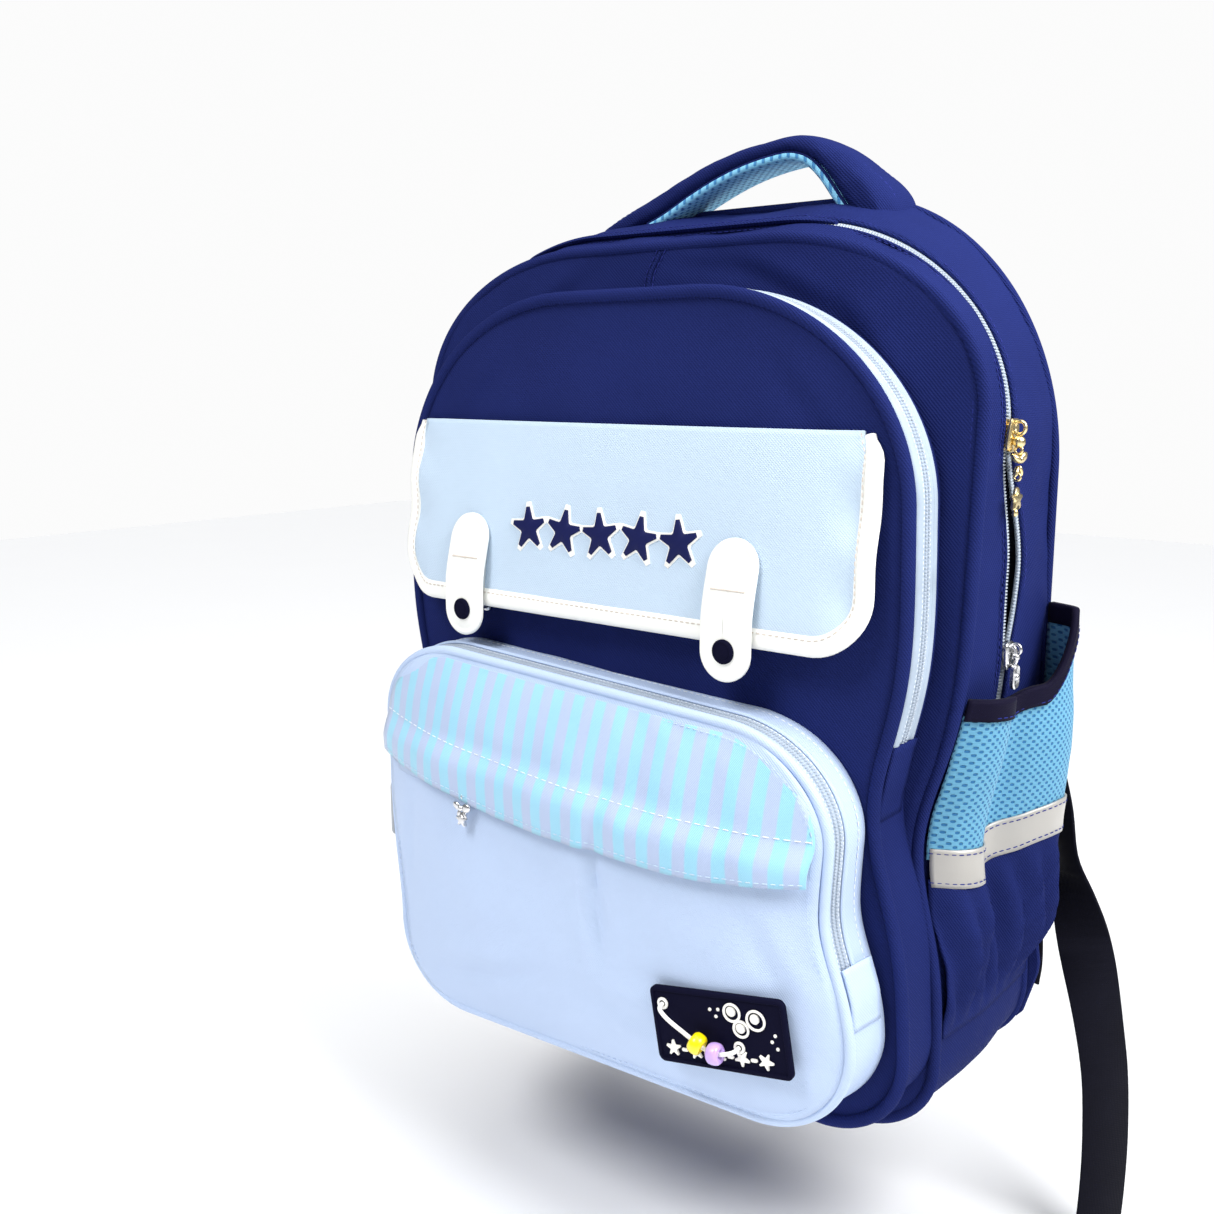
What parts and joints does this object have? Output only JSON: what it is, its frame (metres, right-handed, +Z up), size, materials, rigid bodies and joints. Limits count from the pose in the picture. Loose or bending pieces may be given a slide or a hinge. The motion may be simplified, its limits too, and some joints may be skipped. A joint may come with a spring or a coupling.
{
  "type": "school backpack",
  "caption": "Child's school backpack with zipped main, middle and front compartments, a snapped flap, mesh side pockets, a top handle and padded shoulder straps.",
  "frame": {"origin": "under the middle of the top handle, where the bag hangs on a hook", "axes": "+X is the right of someone who looks at the bag's front, +Y points to the wearer's back, +Z is up"},
  "size_m": [0.3729, 0.205, 0.5374],
  "materials": {
    "black_plastic": "moulded black plastic",
    "blue_mesh": "open honeycomb mesh, sky blue",
    "gold": "pale gold-plated metal",
    "grey_rubber": "grey moulded rubber",
    "ink_rubber": "moulded soft rubber, satin",
    "ink_webbing": "black-navy ribbed webbing",
    "lilac_plastic": "glossy lilac plastic",
    "navy_print": "raised navy rubber print",
    "navy_twill": "navy twill weave, soft sheen",
    "pale_twill": "pale blue twill",
    "reflective_tape": "grey reflective tape",
    "sky_twill": "pale sky-blue twill, satin sheen",
    "steel": "bright nickel-plated metal",
    "striped_twill": "woven vertical stripes of pale cyan and pale lilac-blue",
    "white_cord": "smooth white cord",
    "white_vinyl": "white coated vinyl with stitched edges",
    "yellow_plastic": "glossy yellow plastic",
    "zip_tape": "pale grey-blue zip tape with silver coil"
  },
  "bodies": {
    "bag": {"front_gusset": "navy_twill", "main_zip_front_tape": "zip_tape", "main_zip_rear_tape": "zip_tape", "rear_gusset": "navy_twill", "base_gusset": "navy_twill", "main_front_panel": "navy_twill", "main_piping": "navy_twill", "back_panel": "navy_twill", "back_padding": "blue_mesh", "strap_yoke": "navy_twill", "mid_gusset": "navy_twill", "mid_zip": "zip_tape", "mid_front_panel": "navy_twill", "mid_piping": "navy_twill", "pocket_gusset": "pale_twill", "pocket_zip": "zip_tape", "pocket_face": "pale_twill", "pocket_piping": "pale_twill", "striped_panel": "striped_twill", "slit_zip": "zip_tape", "rubber_patch": "ink_rubber", "bead_cord": "white_cord", "snap_stud_left": "steel", "snap_stud_right": "steel", "side_pocket_right": "blue_mesh", "side_pocket_left": "blue_mesh", "side_pocket_binding_right": "ink_webbing", "side_pocket_binding_left": "ink_webbing", "reflective_strip_right": "reflective_tape", "reflective_strip_left": "reflective_tape"},
    "flap": {"flap_panel": "sky_twill", "flap_binding": "white_vinyl", "flap_motif": "navy_print"},
    "tab_left": {"closure_tab_left": "white_vinyl", "snap_cap_left": "ink_rubber"},
    "tab_right": {"closure_tab_right": "white_vinyl", "snap_cap_right": "ink_rubber"},
    "handle": {"handle_cover": "navy_twill", "handle_lining": "blue_mesh"},
    "weather_lip": {"striped_lip": "striped_twill"},
    "strap_left": {"shoulder_strap_left": "navy_twill", "ladder_lock_left": "black_plastic", "lower_webbing_left": "ink_webbing", "strap_tail_left": "ink_webbing"},
    "strap_right": {"shoulder_strap_right": "navy_twill", "ladder_lock_right": "black_plastic", "lower_webbing_right": "ink_webbing", "strap_tail_right": "ink_webbing"},
    "upper_slider": {"main_slider_upper": "gold"},
    "upper_pull": {"main_pull_upper": "gold"},
    "lower_slider": {"main_slider_lower": "steel"},
    "lower_pull": {"main_pull_lower": "steel"},
    "mid_slider": {"mid_slider": "steel"},
    "mid_pull": {"mid_pull": "grey_rubber"},
    "pocket_slider": {"pocket_slider": "steel"},
    "pocket_pull": {"pocket_pull": "grey_rubber"},
    "slit_slider": {"slit_slider": "steel"},
    "slit_pull": {"slit_pull": "steel"},
    "yellow_bead": {"yellow_bead": "yellow_plastic"},
    "lilac_bead": {"lilac_bead": "lilac_plastic"}
  },
  "joints": [
    {"name": "flap_hinge", "type": "hinge", "parent": "bag", "child": "flap", "pos_m": [0, -0.1022, -0.12], "axis": [-1, 0, 0], "range_deg": [0, 150]},
    {"name": "tab_left_hinge", "type": "hinge", "parent": "flap", "child": "tab_left", "pos_m": [-0.086, -0.1141, -0.1867], "axis": [-1, 0, 0], "range_deg": [0, 110]},
    {"name": "tab_right_hinge", "type": "hinge", "parent": "flap", "child": "tab_right", "pos_m": [0.07, -0.1141, -0.1867], "axis": [-1, 0, 0], "range_deg": [0, 110]},
    {"name": "handle_hinge", "type": "hinge", "parent": "bag", "child": "handle", "pos_m": [0, 0, -0.012], "axis": [1, 0, 0], "range_deg": [-26, 30]},
    {"name": "lip_hinge", "type": "hinge", "parent": "bag", "child": "weather_lip", "pos_m": [0, -0.144, -0.2755], "axis": [-1, 0, 0], "range_deg": [0, 40]},
    {"name": "strap_left_swing", "type": "hinge", "parent": "bag", "child": "strap_left", "pos_m": [-0.046, 0.0245, -0.058], "axis": [-0.284, 0.039, -0.958], "range_deg": [-15, 15]},
    {"name": "strap_right_swing", "type": "hinge", "parent": "bag", "child": "strap_right", "pos_m": [0.046, 0.0245, -0.058], "axis": [0.284, 0.039, -0.958], "range_deg": [-15, 15]},
    {"name": "upper_slider_slide", "type": "slide", "parent": "bag", "child": "upper_slider", "axis": [0, 0, 1], "range_m": [-0.075, 0]},
    {"name": "upper_pull_hinge", "type": "hinge", "parent": "upper_slider", "child": "upper_pull", "pos_m": [0.16304, -0.044, -0.1165], "axis": [0, 1, 0], "range_deg": [-120, 0]},
    {"name": "lower_slider_slide", "type": "slide", "parent": "bag", "child": "lower_slider", "axis": [-0.01, -0.0599, 0.9982], "range_m": [0, 0.045]},
    {"name": "lower_pull_hinge", "type": "hinge", "parent": "lower_slider", "child": "lower_pull", "pos_m": [0.1616, -0.03, -0.2105], "axis": [0, 1, 0], "range_deg": [-120, 0]},
    {"name": "mid_slider_slide", "type": "slide", "parent": "bag", "child": "mid_slider", "axis": [0, 0, 1], "range_m": [0, 0.05]},
    {"name": "mid_pull_hinge", "type": "hinge", "parent": "mid_slider", "child": "mid_pull", "pos_m": [-0.14848, -0.082, -0.2055], "axis": [0, 1, 0], "range_deg": [0, 120]},
    {"name": "pocket_slider_slide", "type": "slide", "parent": "bag", "child": "pocket_slider", "axis": [0, 0, 1], "range_m": [0, 0.02]},
    {"name": "pocket_pull_hinge", "type": "hinge", "parent": "pocket_slider", "child": "pocket_pull", "pos_m": [-0.14207, -0.113, -0.30769], "axis": [0, 1, 0], "range_deg": [0, 120]},
    {"name": "slit_slider_slide", "type": "slide", "parent": "bag", "child": "slit_slider", "axis": [0.9992, 0, -0.04], "range_m": [0, 0.11]},
    {"name": "slit_pull_hinge", "type": "hinge", "parent": "slit_slider", "child": "slit_pull", "pos_m": [-0.062, -0.14188, -0.28484], "axis": [0, 1, 0], "range_deg": [-35, 35]},
    {"name": "yellow_bead_slide", "type": "slide", "parent": "bag", "child": "yellow_bead", "axis": [-0.9063, -0.079, 0.4151], "range_m": [0, 0.008]},
    {"name": "lilac_bead_slide", "type": "slide", "parent": "bag", "child": "lilac_bead", "axis": [0.9848, 0.0864, 0.1507], "range_m": [0, 0.0025]}
  ]
}
